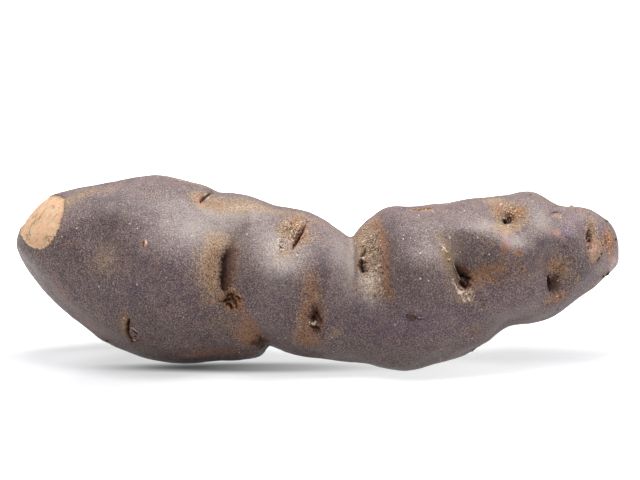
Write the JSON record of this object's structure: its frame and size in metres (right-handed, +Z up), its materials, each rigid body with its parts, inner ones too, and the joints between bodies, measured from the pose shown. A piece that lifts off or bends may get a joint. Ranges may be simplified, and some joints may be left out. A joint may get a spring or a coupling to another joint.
{
  "type": "potato",
  "caption": "Long knobbly purple potato lying on its side, waisted into lobes, with deep eyes and a nearly flat corky scar at the stem end.",
  "frame": {"origin": "on the surface that the tuber lies on, under the middle of its box", "axes": "+X along the tuber from the stem end with its corky scar to the rose end, +Z up as the tuber lies"},
  "size_m": [0.1204, 0.0428, 0.0371],
  "materials": {
    "skin": "dry, slightly waxy purple-grey skin with tan dusting"
  },
  "bodies": {
    "root": {"potato": "skin"}
  },
  "joints": []
}
